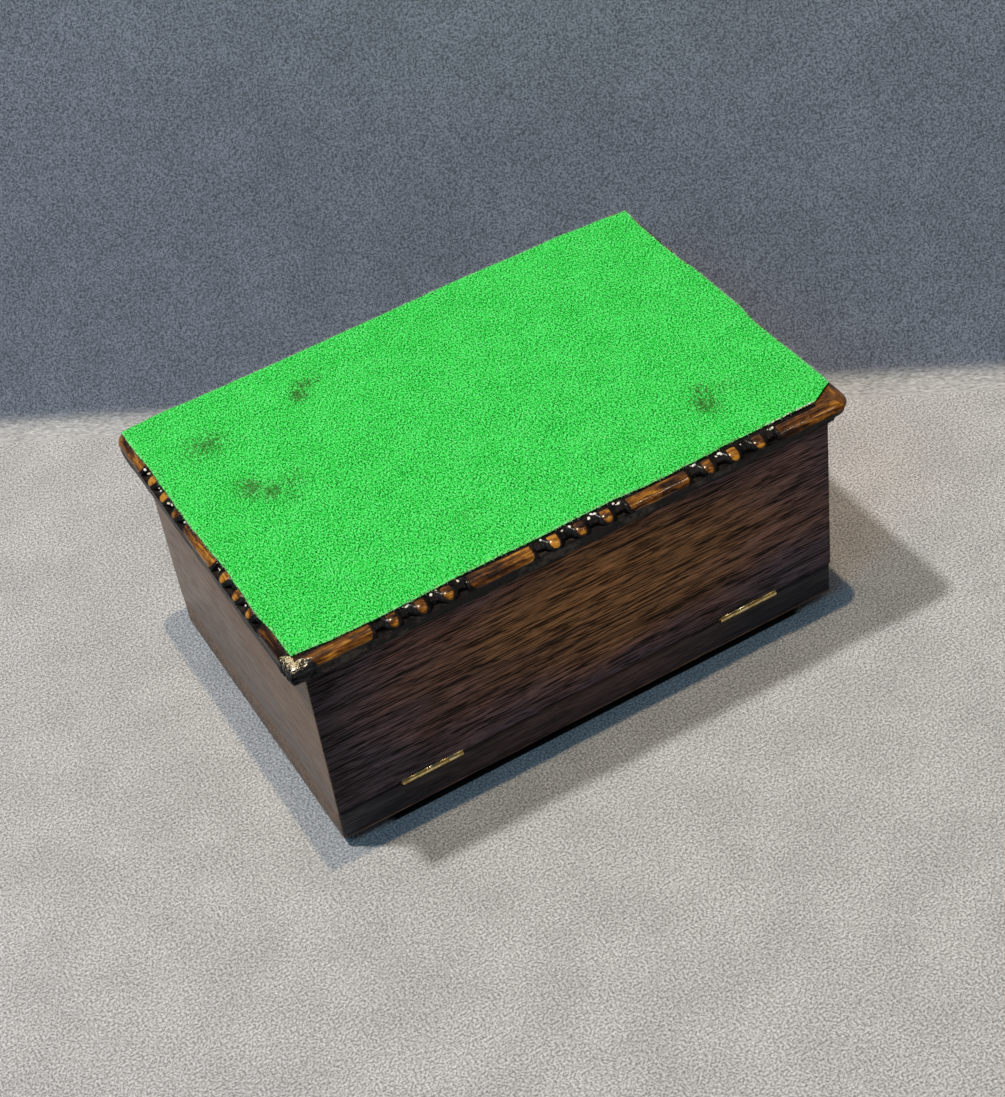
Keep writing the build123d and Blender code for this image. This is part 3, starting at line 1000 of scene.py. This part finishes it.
near_left = Vector((baize_low.x, baize_low.y, 0))
far_left = Vector((baize_low.x, baize_high.y, 0))
along_x = Vector((1, 0, 0))
along_y = Vector((0, 1, 0))
felt_edges = (
    (near_left, along_x, baize_size.x - clip_along),
    (far_left, along_x, baize_size.x),
    (near_left, along_y, baize_size.y),
    (clip_end, along_y, baize_size.y - clip_across),
)
edge_fibre_spacing = 0.42 * mm
loose_fibres = 90
for corner, run, length in felt_edges:
    for _ in range(round(length / edge_fibre_spacing)):
        place = as_cut(corner + run * chance.uniform(0, length))
        place.z = chance.uniform(baize_low.z + 0.3 * mm, baize_high.z - 0.1 * mm)
        outward = Vector((run.y * place.x, run.x * place.y, 0)).normalized()
        direction = outward * chance.uniform(0.2, 1) + run * chance.uniform(-1, 1)
        direction.z = chance.uniform(-0.4, 0.5)
        size = chance.uniform(0.3, 1.0) * mm
        add_fibre(place - outward * 0.1 * mm, direction.normalized(), size, 0.055 * mm)
for _ in range(loose_fibres):
    x = chance.uniform(baize_low.x + 4 * mm, baize_high.x - 9 * mm)
    y = chance.uniform(baize_low.y + 2 * mm, baize_high.y - 4 * mm)
    place = Vector((x, y, baize_high.z - 0.06 * mm))
    angle = chance.uniform(0, math.tau)
    direction = Vector((math.cos(angle), math.sin(angle), 0))
    add_fibre(place, direction, chance.uniform(0.6, 2.2) * mm, 0.035 * mm)
fuzz_finish, tree, shader = new_finish("felt_fuzz", roughness=0.8, specular_ior_level=0.2)
shades = clouds(tree, place_in_mm(tree), 0.6, 2)
shades = tones(tree, shades, (0.42, (0.25, 0.70, 0.27, 1)), (0.54, (0.85, 0.92, 0.80, 1)))
tree.links.new(shades, shader.inputs["Base Color"])
fuzz_piece = make_piece("felt_fuzz", fuzz, "case", fuzz_finish)

# Dried glue: pale crumbs of the baize's glue, squeezed out into the carving and hardened.
# They lie at the top of the cuts, beside the beads, and in a broken line at the near right.
glue = bmesh.new()
lump_error = 0.12 * mm
line_lumps = 70
line_start = 64
line_end = 79


def add_lump(place, size):
    """One uneven lump of glue."""
    turn = Euler((0, 0, chance.uniform(0, math.pi)))
    shape = Vector((size * 1.5, size, size * 0.7))
    lump = bmesh.ops.create_icosphere(
        glue, subdivisions=2, radius=1, matrix=Matrix.LocRotScale(place, turn, shape)
    )
    for vertex in lump["verts"]:
        spot = vertex.co * 2200
        shift = [noise.noise(spot + Vector((apart, 0, 0))) for apart in (0, 31.4, 62.8)]
        vertex.co += Vector(shift) * lump_error


def on_nosing(axis, outward, run, inset):
    """A point of the carved nosing, given how far it lies in from the edge."""
    rolled = max(0.0, crest_round - inset)
    place = Vector((run, run, 0))
    place[axis] = outward * (base_high[axis] - inset)
    place.z = base_high.z - crest_round + math.sqrt(crest_round**2 - rolled**2)
    carve(place)
    return place


for axis, outward, side, margin in (
    (1, -1, long_side, baize_low.y - base_low.y),
    (1, 1, long_side, base_high.y - baize_high.y),
    (0, -1, short_side, baize_low.x - base_low.x),
    (0, 1, short_side, base_high.x - baize_high.x),
):
    for group in range(side["groups"]):
        middle = (group - (side["groups"] - 1) / 2) * side["pitch"]
        for bead in (-1, 0, 1, 2):
            for _ in range(chance.choice((0, 1, 2, 3))):
                run = middle + bead * bead_pitch - bead_radius - chance.gauss(0.4, 0.6) * mm
                inset = margin - chance.uniform(0.0, 0.8) * mm
                add_lump(on_nosing(axis, outward, run, inset), chance.uniform(0.16, 0.48) * mm)
for _ in range(line_lumps):
    place = as_cut(Vector((chance.uniform(line_start, line_end) * mm, baize_low.y, 0)))
    place.y -= 0.05 * mm
    place.z = baize_high.z - chance.uniform(0.15, 0.4) * mm
    if noise.noise(Vector((place.x * 700, 0, 7))) > -0.12:
        add_lump(place, chance.uniform(0.10, 0.20) * mm)
glue_finish, tree, shader = new_finish("dried_glue", roughness=0.45, specular_ior_level=0.4)
shades = clouds(tree, place_in_mm(tree), 0.5, 3)
shades = tones(tree, shades, (0.40, (0.60, 0.54, 0.40, 1)), (0.50, (0.88, 0.88, 0.86, 1)))
tree.links.new(shades, shader.inputs["Base Color"])
make_piece("dried_glue", glue, "case", glue_finish)

# Floor and backdrop: one grey cloth that runs over the table and rises behind the box.
# Two small lights hang over it, a faint one stands at the front right, and a blue window light
# comes in at the left. The cloth is darkened where the rim of the lid shades it.
backdrop_away = Vector((0.5419, 0.8406, 0))
backdrop_run = Vector((0.8406, -0.5419, 0))
backdrop_distance = 93 * mm
fold_radius = 9 * mm
backdrop_lean = math.radians(25)
cloth_width = 8
cloth_rows = 120
fold_rows = 20
floor_row = 0.1
backdrop_row = 0.03
cloth = bmesh.new()
bmesh.ops.create_grid(cloth, x_segments=1, y_segments=cloth_rows, size=0.5)
for vertex in cloth.verts:
    run = vertex.co.x * cloth_width
    row = round((vertex.co.y + 0.5) * cloth_rows) - cloth_rows // 2
    turn = max(0.0, min(1.0, (row + fold_rows) / (2 * fold_rows))) * (math.pi / 2 - backdrop_lean)
    away = backdrop_distance + fold_radius * math.sin(turn) + min(0, row + fold_rows) * floor_row
    up = fold_radius * (1 - math.cos(turn))
    if row > fold_rows:
        away += (row - fold_rows) * backdrop_row * math.sin(backdrop_lean)
        up += (row - fold_rows) * backdrop_row * math.cos(backdrop_lean)
    vertex.co = backdrop_run * run + backdrop_away * away + Vector((0, 0, up))
bmesh.ops.recalc_face_normals(cloth, faces=cloth.faces)
floor_finish, tree, shader = new_finish("grey_cloth", roughness=0.9, specular_ior_level=0.2)
weave = clouds(tree, place_in_mm(tree), 1.5, 3, 0.8)
mottle = clouds(tree, place_in_mm(tree), 0.05, 5, 0.6)
shade = calc(
    tree,
    "MULTIPLY",
    rise(tree, weave, 0.37, 0.63, 0.45, 1.55),
    rise(tree, mottle, 0.3, 0.7, 0.93, 1.07),
)
# Painted shade: the upright part of the cloth is made darker and bluer than the floor.
upright = rise(tree, share_from(tree, "Z", 0, 1 * mm), 1.5, 7)
grey = blend(tree, upright, (0.435, 0.455, 0.490, 1), (0.178, 0.215, 0.285, 1))
rim_inset = 3.4 * mm
rim_half_width = 2.7 * mm
rim_centre = 2 * mm
rim_half_length = 73 * mm
under_rim = share_from(tree, "Y", lid_low.y + rim_inset, rim_half_width)
under_rim = rise(tree, under_rim, 1.0, 0.85)
by_corners = rise(tree, share_from(tree, "X", rim_centre, rim_half_length), 1.0, 0.93)
rim_shade = rise(tree, calc(tree, "MULTIPLY", under_rim, by_corners), 0, 1, 1, 0.03)
shade = calc(tree, "MULTIPLY", shade, rim_shade)
tree.links.new(shaded(tree, grey, shade), shader.inputs["Base Color"])
relief(tree, shader, weave, 0.3 * mm)
floor_mesh = bpy.data.meshes.new("floor")
cloth.to_mesh(floor_mesh)
cloth.free()
floor_mesh.materials.append(floor_finish)
floor_mesh.shade_smooth()
floor = bpy.data.objects.new("floor", floor_mesh)
scene.collection.objects.link(floor)


def soft_light(name, direction, distance, size, level, colour):
    """A square light that faces the box, and gives a level of light there."""
    data = bpy.data.lights.new(name, "AREA")
    data.shape = "SQUARE"
    data.size = size
    data.energy = level * (math.pi * distance) ** 2
    data.color = colour
    lamp = bpy.data.objects.new(name, data)
    scene.collection.objects.link(lamp)
    away = Vector(direction).normalized()
    lamp.location = Vector((0, 0, 0.04)) + away * distance
    lamp.rotation_euler = away.to_track_quat("Z", "Y").to_euler()


soft_light("key", (-0.31, 0.16, 1.0), 3.0, 0.15, 0.62, (1.08, 1.00, 0.90))
soft_light("overhead", (0.0, -0.023, 1.0), 3.0, 0.05, 0.33, (1.30, 0.99, 0.64))
soft_light("window", (-0.75, -0.35, 0.95), 1.5, 0.6, 0.11, (0.36, 0.97, 1.39))
soft_light("front_right", (0.45, -0.5, 0.9), 1.5, 0.06, 0.04, (1.10, 1.0, 0.85))
world = bpy.data.worlds.new("studio")
world.use_nodes = True
world.node_tree.nodes["Background"].inputs["Color"].default_value = (0.92, 1.0, 1.08, 1)
world.node_tree.nodes["Background"].inputs["Strength"].default_value = 0.065
scene.world = world
scene.view_settings.view_transform = "Standard"
